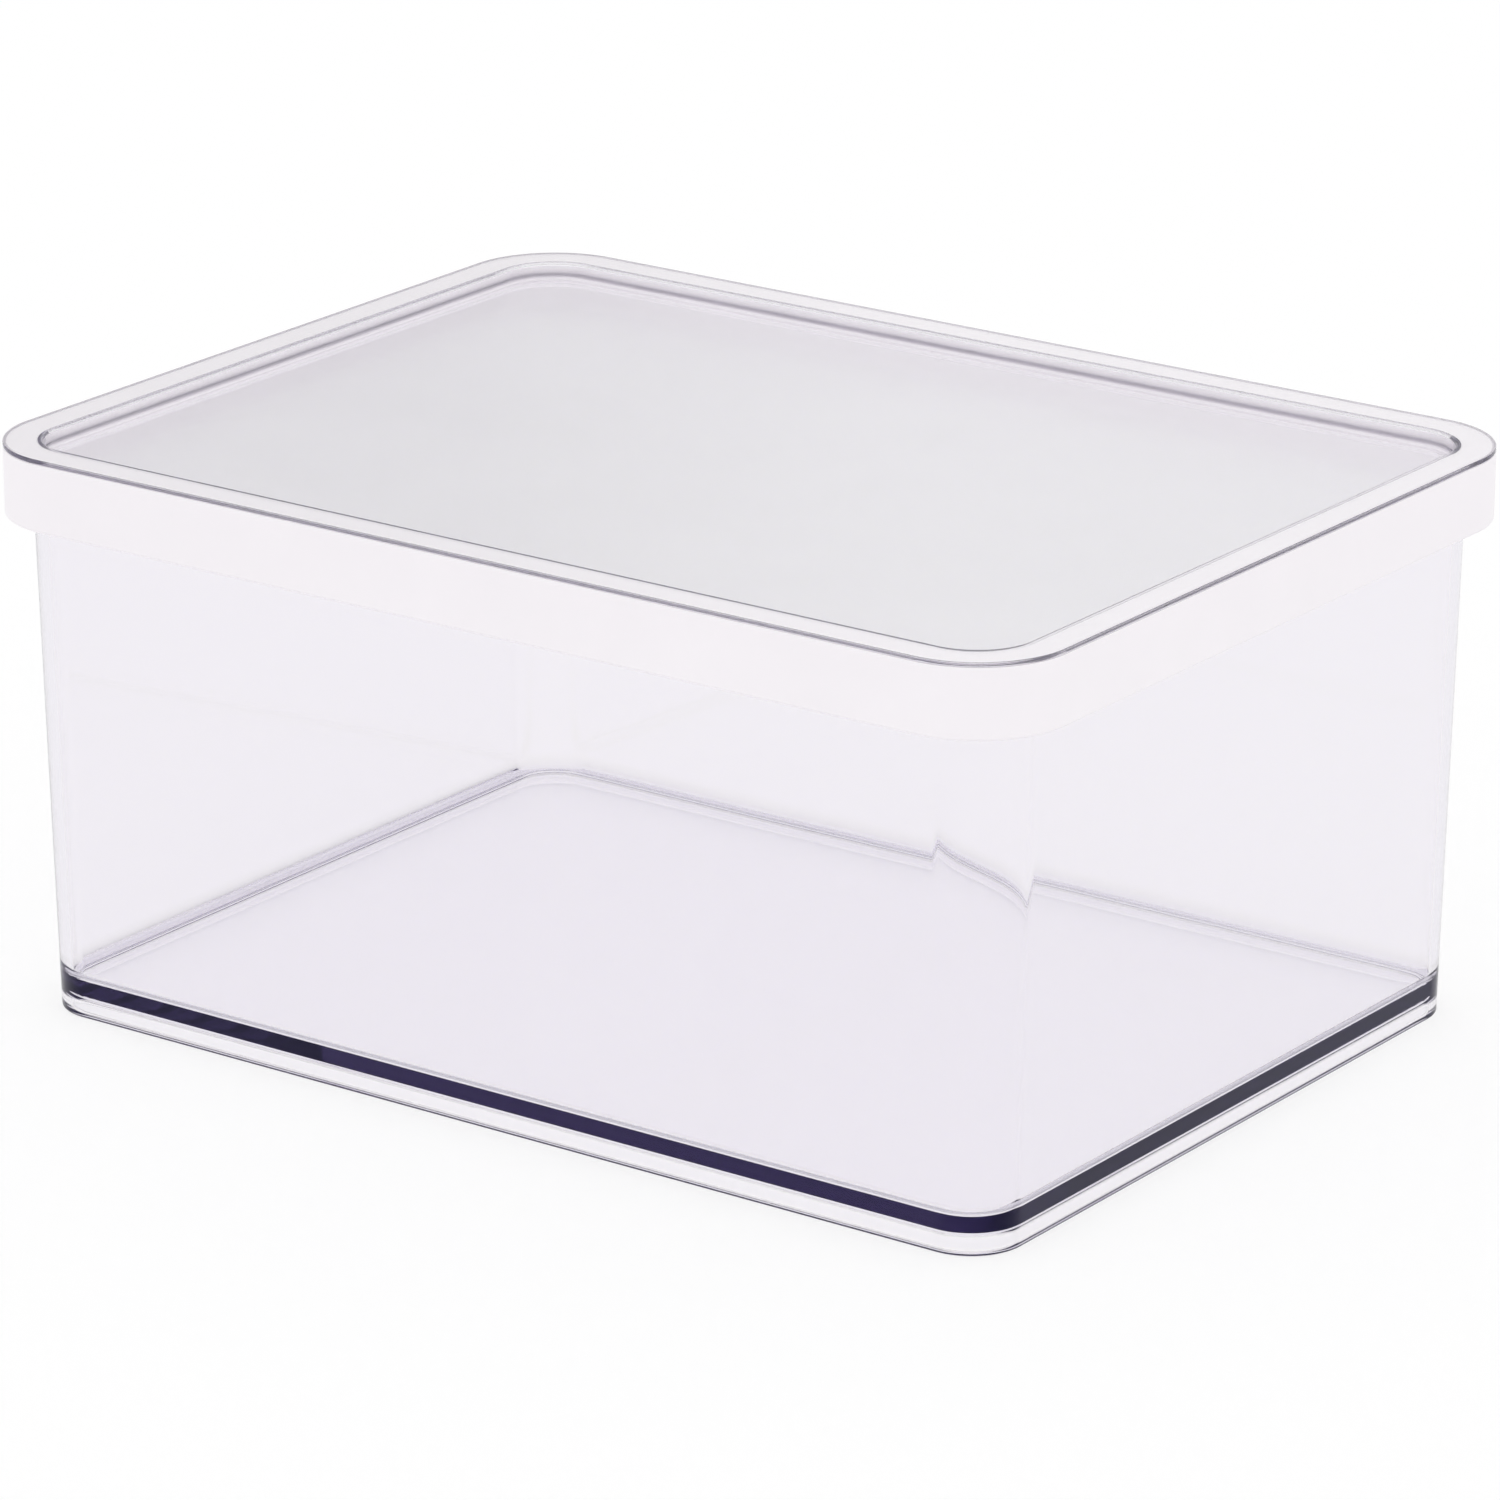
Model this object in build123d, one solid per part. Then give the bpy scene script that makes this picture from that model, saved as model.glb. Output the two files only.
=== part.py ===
from build123d import *
from math import radians, tan
import os

# A clear stacking box with a lid: a drafted container on a raised foot, and a lid made of a
# white frame, a clear top panel let into it and a seal. Millimetres, +Z up. The origin is on
# the ground at the middle of the foot. The long sides run along X.

# Overall sizes, taken over the lid, which is the widest piece
length = 200.0
width = 150.0
height = 96.0
corner_radius = 16.0

# Container
lid_overhang = 4.5
wall_thickness = 2.0
wall_draft_degrees = 1.4
floor_thickness = 2.3
foot_height = 3.1
floor_fillet = 1.5
pocket_fillet = 0.9
foot_outer_fillet = 0.8
foot_inner_fillet = 0.5
mouth_fillet = 0.6

# Lid panel
panel_thickness = 1.6
rim_thickness = 0.8
riser_thickness = 0.9
recess_depth = 2.3
recess_top_fillet = 0.6
recess_floor_fillet = 0.6
panel_edge_fillet = 0.2
panel_corner_fillet = 1.4

# Lid frame
skirt_height = 12.2
skirt_thickness = 2.4
skirt_tip_thickness = 2.0
skirt_tip_fillet = 0.6
web_thickness = 1.1
plug_thickness = 1.6
plug_depth = 3.2
plug_fillet = 0.5

# Seal
seal_strip_thickness = 0.6
seal_bead_height = 0.4
seal_bead_width = 1.4
seal_bead_fillet = 0.15

# Clearances between mating pieces, on each side
stack_clearance = 0.25
plug_clearance = 0.4
panel_clearance = 0.15
seal_clearance = 0.2

# Levels, from the top of the lid down to the floor of the container
rim_underside = height - rim_thickness
recess_floor = height - recess_depth
skirt_bottom = height - skirt_height
panel_underside = recess_floor - panel_thickness
seal_top = panel_underside - web_thickness
seal_strip_bottom = seal_top - seal_strip_thickness
mouth_level = seal_strip_bottom - seal_bead_height
plug_bottom = mouth_level - plug_depth
floor_level = foot_height + floor_thickness

# Insets, measured inwards from the lid's outer outline
draft = tan(radians(wall_draft_degrees))
foot_inset = lid_overhang + mouth_level * draft
cavity_inset = foot_inset - floor_level * draft + wall_thickness
pocket_inset = foot_inset + wall_thickness
recess_inset = foot_inset - stack_clearance
recess_floor_inset = recess_inset + recess_depth * draft
riser_inset = recess_inset - riser_thickness
plug_outer_inset = lid_overhang + wall_thickness + plug_depth * draft + plug_clearance
plug_inner_inset = plug_outer_inset + plug_thickness


def rounded_face(inset, level):
    """Flat face of the lid's outline moved inwards, at a level above the ground."""
    outline = RectangleRounded(length - 2 * inset, width - 2 * inset, corner_radius - inset)
    return Pos(0, 0, level) * outline


def lowest_face(solid):
    return solid.faces().sort_by(Axis.Z)[0]


def highest_face(solid):
    return solid.faces().sort_by(Axis.Z)[-1]


def drafted_block(inset, bottom, top, lower_fillet):
    """Block that widens upwards by the walls' draft, with a rounded lower edge."""
    block = extrude(rounded_face(inset, bottom), top - bottom, taper=-wall_draft_degrees)
    return fillet(lowest_face(block).edges(), lower_fillet)


def outline_path():
    """The lid's outer outline at ground level, starting at the middle of its +X side."""
    half_length = length / 2
    half_width = width / 2
    arc_x = half_length - corner_radius
    arc_y = half_width - corner_radius
    return Wire([
        Line((half_length, 0), (half_length, arc_y)),
        CenterArc((arc_x, arc_y), corner_radius, 0, 90),
        Line((arc_x, half_width), (-arc_x, half_width)),
        CenterArc((-arc_x, arc_y), corner_radius, 90, 90),
        Line((-half_length, arc_y), (-half_length, -arc_y)),
        CenterArc((-arc_x, -arc_y), corner_radius, 180, 90),
        Line((-arc_x, -half_width), (arc_x, -half_width)),
        CenterArc((arc_x, -arc_y), corner_radius, 270, 90),
        Line((half_length, -arc_y), (half_length, 0)),
    ])


def swept_ring(section_points):
    """Ring with one section all round. A section point is (inset, level, corner rounding)."""
    corners = [Vector(length / 2 - inset, 0, level) for inset, level, _ in section_points]
    section = Face(Wire.make_polygon(corners, close=True))
    for corner, (_, _, rounding) in zip(corners, section_points):
        if rounding:
            vertex = section.vertices().sort_by_distance(corner)[0]
            section = section.fillet_2d(rounding, [vertex])
    return sweep(section, path=outline_path())


def make_box_body():
    """Container: one shell with drafted walls and a floor slab held up by a hollow foot."""
    shell = drafted_block(foot_inset, 0, mouth_level, foot_outer_fillet)
    shell -= drafted_block(cavity_inset, floor_level, mouth_level, floor_fillet)
    pocket = extrude(rounded_face(pocket_inset, 0), foot_height)
    shell -= fillet(highest_face(pocket).edges(), pocket_fillet)
    shell = fillet(highest_face(shell).edges(), mouth_fillet)
    foot_inner_edges = lowest_face(shell).inner_wires()[0].edges()
    return fillet(foot_inner_edges, foot_inner_fillet)


def make_lid_frame():
    """White frame: the skirt, a shoulder under the panel's rim, and a plug for the mouth."""
    shoulder_inner = riser_inset - panel_clearance
    return swept_ring([
        (0, skirt_bottom, skirt_tip_fillet),
        (0, rim_underside, 0),
        (shoulder_inner, rim_underside, 0),
        (shoulder_inner, panel_underside, panel_corner_fillet),
        (plug_inner_inset, panel_underside, 0),
        (plug_inner_inset, plug_bottom, plug_fillet),
        (plug_outer_inset, plug_bottom, plug_fillet),
        (plug_outer_inset, seal_top, 0),
        (skirt_thickness, seal_top, 0),
        (skirt_tip_thickness, skirt_bottom, skirt_tip_fillet),
    ])


def make_lid_panel():
    """Clear panel: a thin rim flush with the skirt, a riser, and a sunk floor for a foot."""
    plate_inset = recess_floor_inset + recess_floor_fillet
    rim = swept_ring([
        (0, height, panel_edge_fillet),
        (0, rim_underside, 0),
        (riser_inset, rim_underside, 0),
        (riser_inset, panel_underside, panel_corner_fillet),
        (plate_inset, panel_underside, 0),
        (plate_inset, recess_floor, 0),
        (recess_floor_inset, recess_floor, recess_floor_fillet),
        (recess_inset, height, recess_top_fillet),
    ])
    plate = extrude(rounded_face(plate_inset, panel_underside), panel_thickness)
    return (rim + plate).clean()


def make_lid_seal():
    """Soft seal: a strip held in the frame's channel, with a bead that meets the mouth."""
    strip_outer = skirt_thickness + seal_clearance
    strip_inner = plug_outer_inset - seal_clearance
    bead_outer = lid_overhang + (wall_thickness - seal_bead_width) / 2
    bead_inner = bead_outer + seal_bead_width
    return swept_ring([
        (strip_outer, seal_top, 0),
        (strip_outer, seal_strip_bottom, 0),
        (bead_outer, seal_strip_bottom, 0),
        (bead_outer, mouth_level, seal_bead_fillet),
        (bead_inner, mouth_level, seal_bead_fillet),
        (bead_inner, seal_strip_bottom, 0),
        (strip_inner, seal_strip_bottom, 0),
        (strip_inner, seal_top, 0),
    ])


makers = {
    "box_body": make_box_body,
    "lid_frame": make_lid_frame,
    "lid_panel": make_lid_panel,
    "lid_seal": make_lid_seal,
}

os.makedirs("parts", exist_ok=True)
for name, maker in makers.items():
    shape = maker()
    export_step(shape, "parts/" + name + ".step")
    print(name, "volume", round(shape.volume, 1), "valid", shape.is_valid)
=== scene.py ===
import math

import bpy
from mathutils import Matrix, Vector


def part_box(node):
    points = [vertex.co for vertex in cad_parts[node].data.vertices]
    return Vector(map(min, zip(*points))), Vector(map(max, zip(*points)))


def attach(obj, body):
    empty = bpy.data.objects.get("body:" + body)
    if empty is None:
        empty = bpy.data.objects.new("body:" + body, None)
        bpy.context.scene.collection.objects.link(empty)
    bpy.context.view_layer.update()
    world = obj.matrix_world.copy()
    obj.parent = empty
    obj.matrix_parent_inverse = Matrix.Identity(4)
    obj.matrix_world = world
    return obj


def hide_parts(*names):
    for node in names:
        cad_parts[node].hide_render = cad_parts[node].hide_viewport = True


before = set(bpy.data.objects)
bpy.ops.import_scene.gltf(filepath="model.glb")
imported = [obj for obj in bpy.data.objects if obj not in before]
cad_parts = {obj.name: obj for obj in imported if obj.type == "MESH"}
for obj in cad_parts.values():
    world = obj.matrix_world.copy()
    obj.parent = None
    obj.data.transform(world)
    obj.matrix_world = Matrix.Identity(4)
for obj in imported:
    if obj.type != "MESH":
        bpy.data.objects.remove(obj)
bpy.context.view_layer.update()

# A clear storage box with a lid: a clear container, and a lid made of a white frame, a clear
# sunk panel and a soft seal. Every piece is one moulded section carried round a rounded
# rectangle, so one geometry tree makes all four. Sizes are millimetres, and the overall
# sizes come from the pieces in model.glb.

MM = 0.001

# Overall sizes, from the pieces in model.glb
panel_low, panel_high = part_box("lid_panel")
length = (panel_high.x - panel_low.x) / MM
width = (panel_high.y - panel_low.y) / MM
height = panel_high.z / MM
mouth_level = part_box("box_body")[1].z / MM
skirt_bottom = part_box("lid_frame")[0].z / MM
panel_underside = panel_low.z / MM

# Rounding of the lid's outline
corner_radius = 16.0

# Container. The roundings at the floor, the hollow and the foot draw the grey lines along
# them, and are set for those lines. The solid has 1.5, 0.9, 0.8 and 0.5 there.
lid_overhang = (panel_high.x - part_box("box_body")[1].x) / MM
wall_thickness = 2.0
wall_draft_degrees = 1.4
floor_thickness = 2.3
foot_height = 3.1
floor_fillet = 2.4
pocket_fillet = 1.5
foot_outer_fillet = 0.4
foot_inner_fillet = 1.5
mouth_fillet = 0.6

# Lid panel
panel_thickness = 1.6
rim_thickness = 0.8
riser_thickness = 0.9
recess_top_fillet = 0.6
recess_floor_fillet = 0.6
panel_edge_fillet = 0.2
panel_corner_fillet = 1.4

# Lid frame
skirt_thickness = 2.4
skirt_tip_thickness = 2.0
skirt_tip_fillet = 0.6
web_thickness = 1.1
plug_thickness = 1.6
plug_depth = 3.2
plug_fillet = 0.5

# Seal
seal_strip_thickness = 0.6
seal_bead_width = 1.4
seal_bead_fillet = 0.15

# Clearances between mating pieces
stack_clearance = 0.25
plug_clearance = 0.4
panel_clearance = 0.15
seal_clearance = 0.2

# Air film between a clear face and the face that it rests on, so that the light tells
# the two faces apart, and the weld along the lid's outer edge, where there is no air
air_film = 0.02
weld_width = 0.6

# How finely the roundings are cut
corner_steps = 48
rounding_steps = 7
sharp_angle_degrees = 32

# Points of a piece that lie nearer than this are merged
merge_distance = 0.002

# Levels, from the top of the lid down to the floor of the container
rim_underside = height - rim_thickness
recess_floor = panel_underside + panel_thickness
seal_top = panel_underside - web_thickness
seal_strip_bottom = seal_top - seal_strip_thickness
plug_bottom = mouth_level - plug_depth
floor_level = foot_height + floor_thickness

# Insets, measured inwards from the lid's outer outline
draft = math.tan(math.radians(wall_draft_degrees))
foot_inset = lid_overhang + mouth_level * draft
cavity_inset = foot_inset - floor_level * draft + wall_thickness
cavity_mouth_inset = lid_overhang + wall_thickness
pocket_inset = foot_inset + wall_thickness
recess_inset = foot_inset - stack_clearance
recess_floor_inset = recess_inset + (height - recess_floor) * draft
riser_inset = recess_inset - riser_thickness
plug_outer_inset = lid_overhang + wall_thickness + plug_depth * draft + plug_clearance
plug_inner_inset = plug_outer_inset + plug_thickness


def add_node(tree, kind, sockets=None, **settings):
    """Adds a node. A socket, given by its name or by its number where names repeat, gets a
    value, or a link from another node's output."""
    node = tree.nodes.new(kind)
    for key, value in settings.items():
        setattr(node, key, value)
    for key, value in (sockets or {}).items():
        if isinstance(value, bpy.types.NodeSocket):
            tree.links.new(value, node.inputs[key])
        else:
            node.inputs[key].default_value = value
    return node


def colour(hex_code):
    """Linear colour of an sRGB hex value."""
    parts = [int(hex_code[i:i + 2], 16) / 255 for i in (0, 2, 4)]
    return [c / 12.92 if c <= 0.04045 else ((c + 0.055) / 1.055) ** 2.4 for c in parts] + [1.0]


def moulding_tree():
    """Carries a section round a rounded rectangle and closes an open section with flat plates."""
    tree = bpy.data.node_groups.new("moulding_round_outline", "GeometryNodeTree")
    sockets = tree.interface
    sockets.new_socket("Section", in_out="INPUT", socket_type="NodeSocketGeometry")
    for name in ("Length", "Width", "Corner Radius"):
        sockets.new_socket(name, in_out="INPUT", socket_type="NodeSocketFloat")
    for name in ("Corner Steps", "Rounding Steps"):
        sockets.new_socket(name, in_out="INPUT", socket_type="NodeSocketInt")
    sockets.new_socket("Sharp Angle", in_out="INPUT", socket_type="NodeSocketFloat")
    sockets.new_socket("Finish", in_out="INPUT", socket_type="NodeSocketMaterial")
    sockets.new_socket("Moulding", in_out="OUTPUT", socket_type="NodeSocketGeometry")
    given = add_node(tree, "NodeGroupInput").outputs

    # The section lies in the upright plane, x outwards from the outline and z up
    section = add_node(tree, "GeometryNodeMeshToCurve", {"Mesh": given["Section"]})
    rounding = add_node(tree, "GeometryNodeInputNamedAttribute", {"Name": "rounding"},
                        data_type="FLOAT")
    rounded = add_node(tree, "GeometryNodeFilletCurve", {
        "Curve": section.outputs["Curve"],
        "Radius": rounding.outputs["Attribute"],
        "Count": given["Rounding Steps"],
    }, mode="POLY")
    place = add_node(tree, "GeometryNodeInputPosition")
    parts = add_node(tree, "ShaderNodeSeparateXYZ", {"Vector": place.outputs["Position"]})
    down = add_node(tree, "ShaderNodeMath", {0: parts.outputs["Z"], 1: -1.0},
                    operation="MULTIPLY")
    turned = add_node(tree, "ShaderNodeCombineXYZ", {"X": parts.outputs["X"], "Y": down.outputs[0]})
    profile = add_node(tree, "GeometryNodeSetPosition", {
        "Geometry": rounded.outputs["Curve"],
        "Position": turned.outputs["Vector"],
    })

    # The outline, with its outward side horizontal all the way round
    rectangle = add_node(tree, "GeometryNodeCurvePrimitiveQuadrilateral", {
        "Width": given["Length"],
        "Height": given["Width"],
    }, mode="RECTANGLE")
    corners = add_node(tree, "GeometryNodeFilletCurve", {
        "Curve": rectangle.outputs["Curve"],
        "Radius": given["Corner Radius"],
        "Count": given["Corner Steps"],
    }, mode="POLY")
    upright = add_node(tree, "GeometryNodeSetCurveNormal", {"Curve": corners.outputs["Curve"]},
                       mode="Z_UP")
    swept = add_node(tree, "GeometryNodeCurveToMesh", {
        "Curve": upright.outputs["Curve"],
        "Profile Curve": profile.outputs["Geometry"],
    })

    # An open section leaves two open edges; each is drawn in flat to the middle line
    neighbours = add_node(tree, "GeometryNodeInputMeshEdgeNeighbors")
    is_open = add_node(tree, "FunctionNodeCompare", {2: neighbours.outputs["Face Count"], 3: 1},
                       data_type="INT", operation="EQUAL")
    drawn = add_node(tree, "GeometryNodeExtrudeMesh", {
        "Mesh": swept.outputs["Mesh"],
        "Selection": is_open.outputs["Result"],
        "Offset Scale": 0.0,
    }, mode="EDGES")
    spare = add_node(tree, "ShaderNodeMath", {0: given["Length"], 1: given["Width"]},
                     operation="SUBTRACT")
    half = add_node(tree, "ShaderNodeMath", {0: spare.outputs[0], 1: 0.5}, operation="MULTIPLY")
    other_half = add_node(tree, "ShaderNodeMath", {0: half.outputs[0], 1: -1.0},
                          operation="MULTIPLY")
    held_x = add_node(tree, "ShaderNodeClamp", {
        "Value": parts.outputs["X"],
        "Min": other_half.outputs[0],
        "Max": half.outputs[0],
    })
    middle = add_node(tree, "ShaderNodeCombineXYZ", {
        "X": held_x.outputs["Result"],
        "Z": parts.outputs["Z"],
    })
    closed = add_node(tree, "GeometryNodeSetPosition", {
        "Geometry": drawn.outputs["Mesh"],
        "Selection": drawn.outputs["Top"],
        "Position": middle.outputs["Vector"],
    })
    merged = add_node(tree, "GeometryNodeMergeByDistance", {
        "Geometry": closed.outputs["Geometry"],
        "Distance": merge_distance * MM,
    })

    smooth = add_node(tree, "GeometryNodeSetShadeSmooth", {
        "Geometry": merged.outputs["Geometry"],
    }, domain="FACE")
    bend = add_node(tree, "GeometryNodeInputMeshEdgeAngle")
    is_sharp = add_node(tree, "FunctionNodeCompare", {
        0: bend.outputs["Unsigned Angle"],
        1: given["Sharp Angle"],
    }, data_type="FLOAT", operation="GREATER_THAN")
    edged = add_node(tree, "GeometryNodeSetShadeSmooth", {
        "Geometry": smooth.outputs["Geometry"],
        "Selection": is_sharp.outputs["Result"],
        "Shade Smooth": False,
    }, domain="EDGE")
    real = add_node(tree, "GeometryNodeRealizeInstances", {"Geometry": edged.outputs["Geometry"]})
    finished = add_node(tree, "GeometryNodeSetMaterial", {
        "Geometry": real.outputs["Geometry"],
        "Material": given["Finish"],
    })
    add_node(tree, "NodeGroupOutput", {"Moulding": finished.outputs["Geometry"]})
    return tree


def moulded_piece(name, points, is_ring, finish, tree):
    """One moulding, as a plain mesh. A section point is (inset, level, corner rounding) in
    millimetres. A section that is no ring is open, and flat plates close it."""
    section = bpy.data.meshes.new(name + "_section")
    edges = [(i, i + 1) for i in range(len(points) - 1)]
    if is_ring:
        edges.append((len(points) - 1, 0))
    section.from_pydata([(-inset * MM, 0, level * MM) for inset, level, _ in points], edges, [])
    rounding = section.attributes.new("rounding", "FLOAT", "POINT")
    for i, (_, _, radius) in enumerate(points):
        rounding.data[i].value = radius * MM
    piece = bpy.data.objects.new(name, section)
    bpy.context.scene.collection.objects.link(piece)

    sweep = piece.modifiers.new("moulding", "NODES")
    sweep.node_group = tree
    wanted = {
        "Length": length * MM,
        "Width": width * MM,
        "Corner Radius": corner_radius * MM,
        "Corner Steps": corner_steps,
        "Rounding Steps": rounding_steps,
        "Sharp Angle": math.radians(sharp_angle_degrees),
        "Finish": finish,
    }
    for item in tree.interface.items_tree:
        if item.in_out == "INPUT" and item.name in wanted:
            sweep[item.identifier] = wanted[item.name]
    normals = piece.modifiers.new("normals", "WEIGHTED_NORMAL")
    normals.keep_sharp = True

    evaluated = piece.evaluated_get(bpy.context.evaluated_depsgraph_get())
    mesh = bpy.data.meshes.new_from_object(evaluated)
    piece.modifiers.clear()
    piece.data = mesh
    mesh.name = name
    return piece


def box_body_section():
    """Floor, inner wall, mouth, outer wall, foot and the hollow under the floor. The flat
    plates start well clear of the rounding at the floor."""
    plate_inset = cavity_inset + 2 * floor_fillet
    return [
        (plate_inset, floor_level, 0),
        (cavity_inset, floor_level, floor_fillet),
        (cavity_mouth_inset, mouth_level, mouth_fillet),
        (lid_overhang, mouth_level, mouth_fillet),
        (foot_inset, 0, foot_outer_fillet),
        (pocket_inset, 0, foot_inner_fillet),
        (pocket_inset, foot_height, pocket_fillet),
        (plate_inset, foot_height, 0),
    ]


def lid_frame_section():
    """Skirt, shoulder under the panel's rim, channel for the seal, and plug for the mouth. A
    weld all round the outer edge joins the shoulder to the rim with no air between."""
    shoulder_inner = riser_inset - panel_clearance
    return [
        (skirt_thickness, seal_top, 0),
        (plug_outer_inset, seal_top, 0),
        (plug_outer_inset, plug_bottom, plug_fillet),
        (plug_inner_inset, plug_bottom, plug_fillet),
        (plug_inner_inset, panel_underside - air_film, 0),
        (shoulder_inner, panel_underside - air_film, panel_corner_fillet),
        (shoulder_inner, rim_underside - air_film, 0),
        (weld_width, rim_underside - air_film, 0),
        (weld_width, rim_underside + air_film, 0),
        (air_film, rim_underside + air_film, 0),
        (air_film, rim_underside - air_film, 0),
        (0, rim_underside - air_film, 0),
        (0, skirt_bottom, skirt_tip_fillet),
        (skirt_tip_thickness, skirt_bottom, skirt_tip_fillet),
    ]


def lid_panel_section():
    """Sunk floor, riser and thin flat rim of the clear panel. The flat plates start well
    clear of the rounding at the sunk floor."""
    plate_inset = recess_floor_inset + 2 * recess_floor_fillet
    return [
        (plate_inset, recess_floor, 0),
        (recess_floor_inset, recess_floor, recess_floor_fillet),
        (recess_inset, height, recess_top_fillet),
        (0, height, panel_edge_fillet),
        (0, rim_underside, 0),
        (riser_inset, rim_underside, 0),
        (riser_inset, panel_underside, panel_corner_fillet),
        (plate_inset, panel_underside, 0),
    ]


def lid_seal_section():
    """Strip in the frame's channel, and the bead that meets the mouth."""
    strip_outer = skirt_thickness + seal_clearance
    strip_inner = plug_outer_inset - seal_clearance
    bead_outer = lid_overhang + (wall_thickness - seal_bead_width) / 2
    bead_inner = bead_outer + seal_bead_width
    return [
        (strip_outer, seal_top - air_film, 0),
        (strip_outer, seal_strip_bottom, 0),
        (bead_outer, seal_strip_bottom, 0),
        (bead_outer, mouth_level + air_film, seal_bead_fillet),
        (bead_inner, mouth_level + air_film, seal_bead_fillet),
        (bead_inner, seal_strip_bottom, 0),
        (strip_inner, seal_strip_bottom, 0),
        (strip_inner, seal_top - air_film, 0),
    ]


def surface_waves(tree, place):
    """Slow waves left by the cooling plastic, as a normal. Real ones are a few thousandths of
    a millimetre deep; they are drawn deeper so that they show."""
    wave_length = 28.0
    depth = 0.05
    waves = add_node(tree, "ShaderNodeTexNoise", {
        "Vector": place,
        "Scale": 1 / (wave_length * MM),
        "Detail": 1.0,
        "Roughness": 0.35,
    })
    return add_node(tree, "ShaderNodeBump", {
        "Height": waves.outputs["Fac"],
        "Strength": 1.0,
        "Distance": depth * MM,
    }).outputs["Normal"]


def wiping_hairlines(tree, place):
    """1 on the hairlines that wiping leaves, 0 elsewhere. Real ones are a few hundredths of a
    millimetre wide; they are drawn wider, and some 15 mm long, so that they show."""
    across = 0.25
    along = 15.0
    turn = 0.6
    noise_at_edge = 0.74
    noise_at_middle = 0.82
    laid = add_node(tree, "ShaderNodeMapping", {
        "Vector": place,
        "Rotation": (turn, turn, turn),
        "Scale": (1 / (along * MM), 1 / (across * MM), 1 / (across * MM)),
    })
    streaks = add_node(tree, "ShaderNodeTexNoise", {
        "Vector": laid.outputs["Vector"],
        "Scale": 1.0,
        "Detail": 0.0,
    })
    return add_node(tree, "ShaderNodeMapRange", {
        "Value": streaks.outputs["Fac"],
        "From Min": noise_at_edge,
        "From Max": noise_at_middle,
    }).outputs["Result"]


def satin_underside(tree, place):
    """1 on the underside of the panel within the plug, where the mould is finely blasted."""
    spot = add_node(tree, "ShaderNodeSeparateXYZ", {"Vector": place})
    mask = add_node(tree, "ShaderNodeMath", {
        0: spot.outputs["Z"],
        1: (panel_underside + panel_thickness / 2) * MM,
    }, operation="LESS_THAN").outputs[0]
    for axis, size in (("X", length), ("Y", width)):
        reach = add_node(tree, "ShaderNodeMath", {0: spot.outputs[axis]}, operation="ABSOLUTE")
        inside = add_node(tree, "ShaderNodeMath", {
            0: reach.outputs[0],
            1: (size / 2 - plug_inner_inset) * MM,
        }, operation="LESS_THAN")
        mask = add_node(tree, "ShaderNodeMath", {0: mask, 1: inside.outputs[0]},
                        operation="MULTIPLY").outputs[0]
    return mask


def clear_plastic(name, ior, face_colour, mirror_tint, tint_per_metre, satin_roughness):
    """Clear plastic, injection moulded. Polished faces with slow waves and a few hairlines,
    bright and nearly colourless through a wall, and navy where the light runs along a slab.
    Where satin_roughness is above 0, the panel's underside is satin and veils what is behind."""
    tint = "500090"
    hairline_roughness = 0.06
    material = bpy.data.materials.new(name)
    material.use_nodes = True
    tree = material.node_tree
    tree.nodes.clear()
    place = add_node(tree, "ShaderNodeTexCoord").outputs["Object"]
    roughness = add_node(tree, "ShaderNodeMath", {
        0: wiping_hairlines(tree, place),
        1: hairline_roughness,
    }, operation="MULTIPLY").outputs[0]
    if satin_roughness:
        satin = add_node(tree, "ShaderNodeMath", {
            0: satin_underside(tree, place),
            1: satin_roughness,
        }, operation="MULTIPLY")
        roughness = add_node(tree, "ShaderNodeMath", {0: satin.outputs[0], 1: roughness},
                             operation="MAXIMUM").outputs[0]
    shader = add_node(tree, "ShaderNodeBsdfPrincipled", {
        "Base Color": colour(face_colour),
        "Roughness": roughness,
        "IOR": ior,
        "Specular Tint": colour(mirror_tint),
        "Transmission Weight": 1.0,
        "Normal": surface_waves(tree, place),
    })
    absorption = add_node(tree, "ShaderNodeVolumeAbsorption", {
        "Color": colour(tint),
        "Density": tint_per_metre,
    })
    add_node(tree, "ShaderNodeOutputMaterial", {
        "Surface": shader.outputs["BSDF"],
        "Volume": absorption.outputs["Volume"],
    })
    return material


def opaque_moulding(name, low_colour, high_colour, roughness, cloud_size, grain_size, grain_depth):
    """Opaque moulded plastic or rubber: faint clouds in the colour and the gloss, and the fine
    grain of an eroded mould. Sizes in millimetres."""
    gloss_spread = 0.08
    material = bpy.data.materials.new(name)
    material.use_nodes = True
    tree = material.node_tree
    tree.nodes.clear()
    place = add_node(tree, "ShaderNodeTexCoord").outputs["Object"]
    clouds = add_node(tree, "ShaderNodeTexNoise", {
        "Vector": place,
        "Scale": 1 / (cloud_size * MM),
        "Detail": 4.0,
    }).outputs["Fac"]
    shade = add_node(tree, "ShaderNodeMix", {
        0: clouds,
        6: colour(low_colour),
        7: colour(high_colour),
    }, data_type="RGBA")
    gloss = add_node(tree, "ShaderNodeMapRange", {
        "Value": clouds,
        "To Min": roughness - gloss_spread,
        "To Max": roughness + gloss_spread,
    })
    grain = add_node(tree, "ShaderNodeTexNoise", {
        "Vector": place,
        "Scale": 1 / (grain_size * MM),
        "Detail": 2.0,
    })
    relief = add_node(tree, "ShaderNodeBump", {
        "Height": grain.outputs["Fac"],
        "Strength": 1.0,
        "Distance": grain_depth * MM,
    })
    shader = add_node(tree, "ShaderNodeBsdfPrincipled", {
        "Base Color": shade.outputs[2],
        "Roughness": gloss.outputs["Result"],
        "IOR": 1.49,
        "Normal": relief.outputs["Normal"],
    })
    add_node(tree, "ShaderNodeOutputMaterial", {"Surface": shader.outputs["BSDF"]})
    return material


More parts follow.
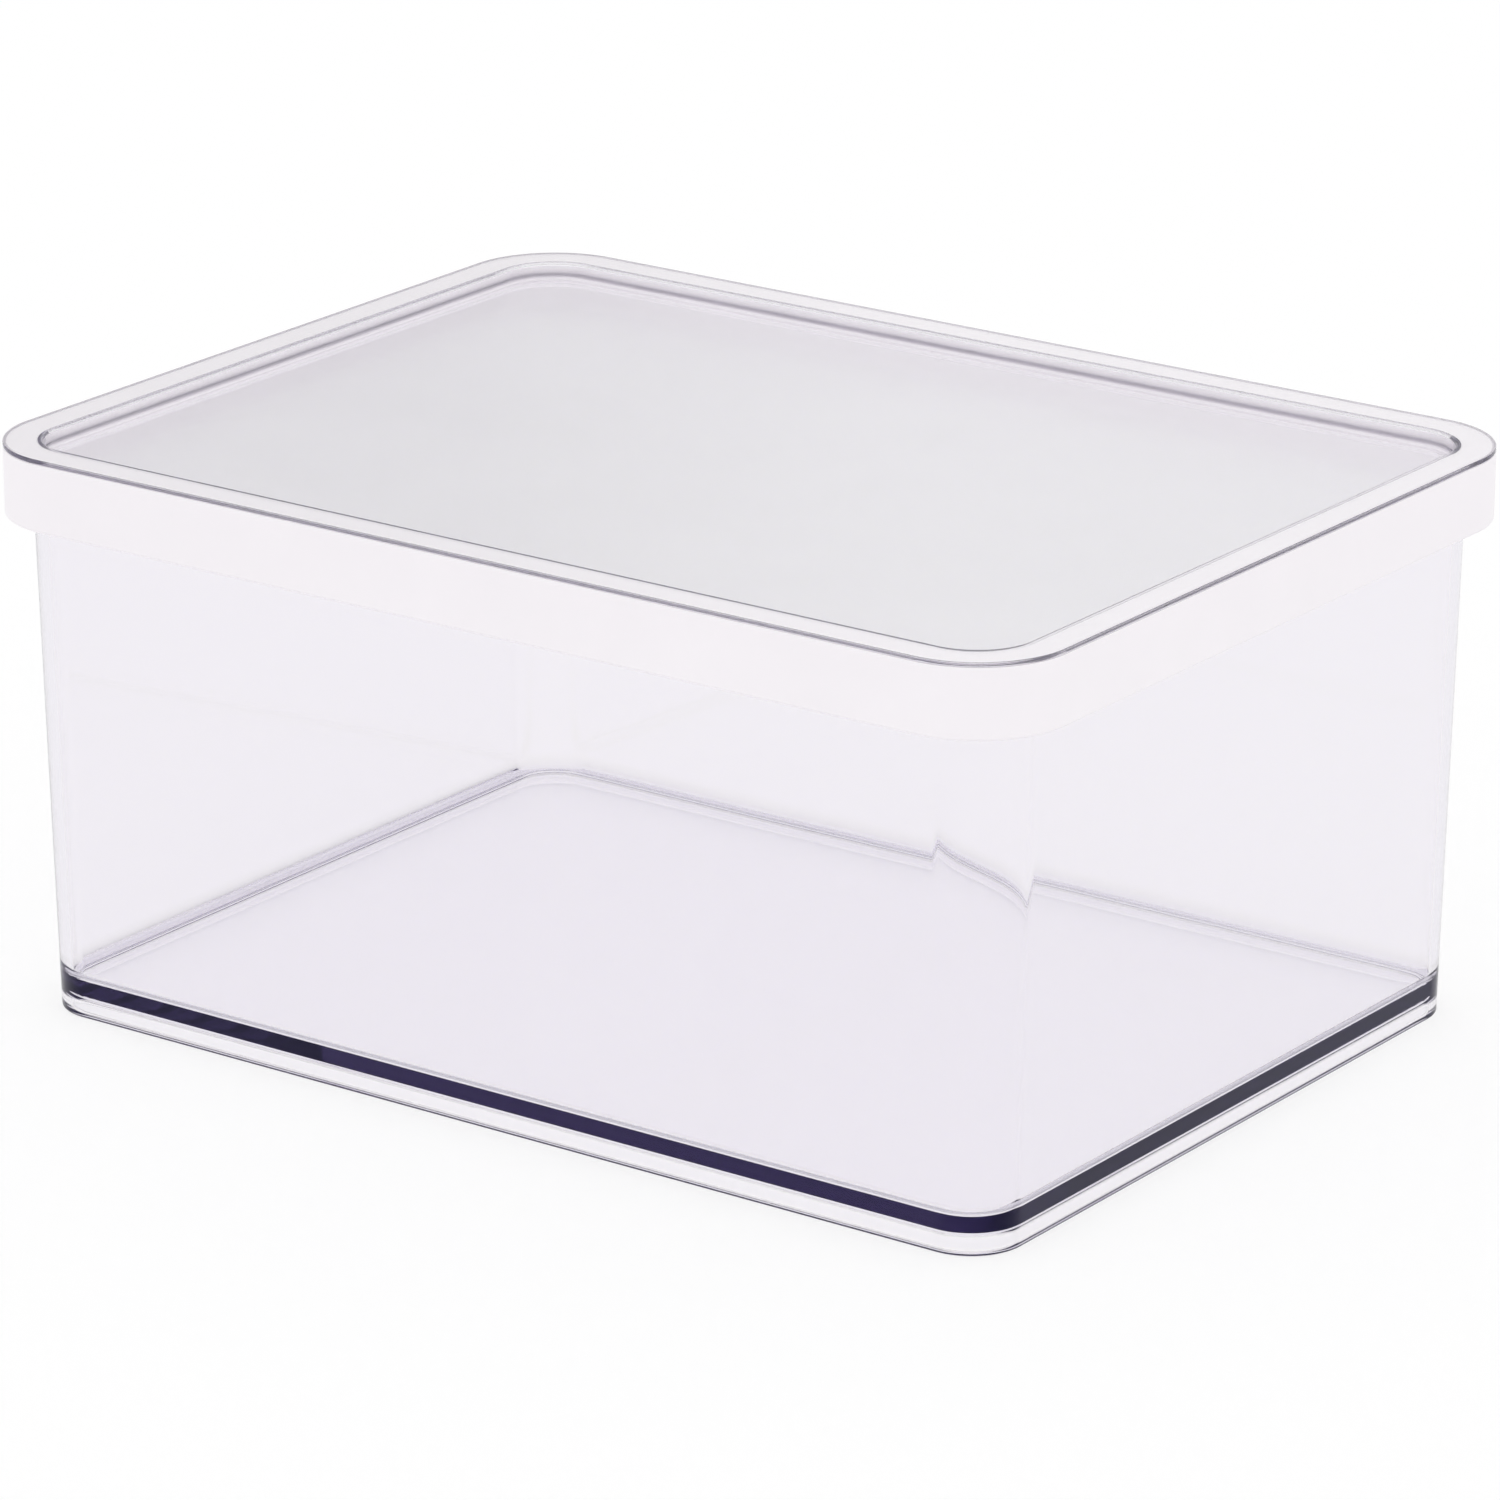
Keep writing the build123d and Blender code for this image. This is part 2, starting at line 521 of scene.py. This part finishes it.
def is_seen_ray(tree):
    """1 for a ray that ends up in the picture: straight, mirrored or through clear plastic."""
    path = add_node(tree, "ShaderNodeLightPath")
    mirrored = add_node(tree, "ShaderNodeMath", {
        0: path.outputs["Is Camera Ray"],
        1: path.outputs["Is Glossy Ray"],
    }, operation="MAXIMUM")
    return add_node(tree, "ShaderNodeMath", {
        0: mirrored.outputs[0],
        1: path.outputs["Is Transmission Ray"],
    }, operation="MAXIMUM").outputs[0]


def make_floor():
    """Plain pale floor. It keeps the object's shadow, and a share of plain white brings it up
    to the white of the surroundings where nothing shades it. It lies just under the foot."""
    reach = 4000.0
    level = -0.1
    white_share = 0.62
    paint_white = 0.9
    white_strength = (1 - (1 - white_share) * paint_white) / white_share
    mesh = bpy.data.meshes.new("floor")
    corners = [(-reach, -reach), (reach, -reach), (reach, reach), (-reach, reach)]
    mesh.from_pydata([(x * MM, y * MM, level * MM) for x, y in corners], [], [(0, 1, 2, 3)])
    floor = bpy.data.objects.new("floor", mesh)
    bpy.context.scene.collection.objects.link(floor)
    material = bpy.data.materials.new("pale_floor")
    material.use_nodes = True
    tree = material.node_tree
    tree.nodes.clear()
    paint = add_node(tree, "ShaderNodeBsdfDiffuse", {
        "Color": (paint_white, paint_white, paint_white, 1.0),
    })
    white = add_node(tree, "ShaderNodeEmission", {"Strength": white_strength})
    share = add_node(tree, "ShaderNodeMath", {0: is_seen_ray(tree), 1: white_share},
                     operation="MULTIPLY")
    both = add_node(tree, "ShaderNodeMixShader", {
        0: share.outputs[0],
        1: paint.outputs[0],
        2: white.outputs[0],
    })
    add_node(tree, "ShaderNodeOutputMaterial", {"Surface": both.outputs[0]})
    mesh.materials.append(material)


def make_surroundings():
    """Plain soft light all round, and white wherever it is seen, straight or through the
    plastic. A mirrored ray, such as one off the flat top of the lid, meets a softer grey low
    in the sky, which deepens towards the -X side."""
    # How far a direction rises, from 0 for level to 1 for straight up, and its share of grey
    low_sky_stops = [(0.12, 0.0), (0.23, 1.0), (0.42, 1.0), (0.6, 0.0)]
    # How far a direction leans to the deeper side where the grey starts and ends to deepen
    deeper_side = (-0.81, -0.586, 0.0)
    deepening_start = -0.03
    deepening_end = 0.055
    # How far the grey lies below white
    light_grey = 0.25
    deep_grey = 0.5
    world = bpy.data.worlds.new("white_surroundings")
    bpy.context.scene.world = world
    world.use_nodes = True
    tree = world.node_tree
    tree.nodes.clear()
    direction = add_node(tree, "ShaderNodeTexCoord").outputs["Generated"]
    rise = add_node(tree, "ShaderNodeSeparateXYZ", {"Vector": direction}).outputs["Z"]
    low_sky = add_node(tree, "ShaderNodeValToRGB", {"Fac": rise})
    ramp = low_sky.color_ramp
    ramp.interpolation = "EASE"
    for stop_rise, share in low_sky_stops:
        ramp.elements.new(stop_rise).color = (share, share, share, 1.0)
    ramp.elements[-1].color = colour("000000")
    sideways = add_node(tree, "ShaderNodeVectorMath", {0: direction, 1: deeper_side},
                        operation="DOT_PRODUCT")
    grey = add_node(tree, "ShaderNodeMapRange", {
        "Value": sideways.outputs["Value"],
        "From Min": deepening_start,
        "From Max": deepening_end,
        "To Min": light_grey,
        "To Max": deep_grey,
    }, interpolation_type="SMOOTHSTEP")
    path = add_node(tree, "ShaderNodeLightPath")
    not_through = add_node(tree, "ShaderNodeMath", {
        0: path.outputs["Is Glossy Ray"],
        1: path.outputs["Is Transmission Ray"],
    }, operation="SUBTRACT")
    mirrored = add_node(tree, "ShaderNodeClamp", {"Value": not_through.outputs[0]})
    amount = mirrored.outputs["Result"]
    for factor in (low_sky.outputs["Color"], grey.outputs["Result"]):
        amount = add_node(tree, "ShaderNodeMath", {0: amount, 1: factor},
                          operation="MULTIPLY").outputs[0]
    white = add_node(tree, "ShaderNodeMath", {0: 1.0, 1: amount}, operation="SUBTRACT")
    background = add_node(tree, "ShaderNodeBackground", {
        "Color": colour("FFFFFF"),
        "Strength": white.outputs[0],
    })
    add_node(tree, "ShaderNodeOutputWorld", {"Surface": background.outputs[0]})


def make_camera():
    """Camera at the photograph's viewing angle."""
    azimuth = math.radians(35.904)
    elevation = math.radians(18.931)
    distance = 1223.8 * MM
    focal_pixels = 7676.2
    frame_pixels = 1500
    target = Vector((7.291, -9.672, 48.0)) * MM
    back = Vector((
        math.sin(azimuth) * math.cos(elevation),
        -math.cos(azimuth) * math.cos(elevation),
        math.sin(elevation),
    ))
    data = bpy.data.cameras.new("camera")
    data.sensor_width = 36.0
    data.lens = data.sensor_width * focal_pixels / frame_pixels
    camera = bpy.data.objects.new("camera", data)
    bpy.context.scene.collection.objects.link(camera)
    camera.location = target + back * distance
    camera.rotation_mode = "QUATERNION"
    camera.rotation_quaternion = (-back).to_track_quat("-Z", "Y")
    bpy.context.scene.camera = camera


make_camera()
make_surroundings()
make_floor()
bpy.context.scene.view_settings.view_transform = "Standard"
# Light crosses many clear faces before it leaves the box
light_paths = bpy.context.scene.cycles
light_paths.max_bounces = 48
light_paths.diffuse_bounces = 12
light_paths.glossy_bounces = 40
light_paths.transmission_bounces = 40
light_paths.blur_glossy = 0.0

moulding = moulding_tree()
# The container: clear plastic from a polished mould, with the index of acrylic. Its faces
# mirror the ground faintly and a little blue, so that the edge of the floor slab behind them
# stays deep navy
box_plastic = clear_plastic(
    "clear_polished_plastic",
    ior=1.49,
    face_colour="FFFEFF",
    mirror_tint="A095EF",
    tint_per_metre=28.0,
    satin_roughness=0.0,
)
# The lid's panel: polished on top and finely blasted below, with the higher index of styrene
# plastics, which draws the dark lines along its rim
panel_plastic = clear_plastic(
    "clear_satin_backed_plastic",
    ior=1.57,
    face_colour="FFFFFF",
    mirror_tint="FFFFFF",
    tint_per_metre=14.0,
    satin_roughness=0.2,
)
# Polypropylene from an eroded mould: satin white, with a grain of about a quarter millimetre
frame_plastic = opaque_moulding(
    "satin_white_polypropylene",
    low_colour="F8F4F8",
    high_colour="FDF9FD",
    roughness=0.4,
    cloud_size=12.0,
    grain_size=0.25,
    grain_depth=0.004,
)
# Silicone rubber: a duller white with a dusty bloom
silicone = opaque_moulding(
    "white_silicone_rubber",
    low_colour="E2E2E5",
    high_colour="EAEAED",
    roughness=0.5,
    cloud_size=4.0,
    grain_size=0.15,
    grain_depth=0.006,
)
pieces = [
    ("clear_box", box_body_section(), False, box_plastic, "box", "box_body", "clear_body"),
    ("white_lid_frame", lid_frame_section(), True, frame_plastic, "lid", "lid_frame",
     "white_frame"),
    ("clear_lid_panel", lid_panel_section(), False, panel_plastic, "lid", "lid_panel",
     "clear_panel"),
    ("soft_lid_seal", lid_seal_section(), True, silicone, "lid", "lid_seal", "soft_seal"),
]
for name, section, is_ring, finish, body, node, slot in pieces:
    piece = moulded_piece(name, section, is_ring, finish, moulding)
    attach(piece, body)
    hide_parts(node)
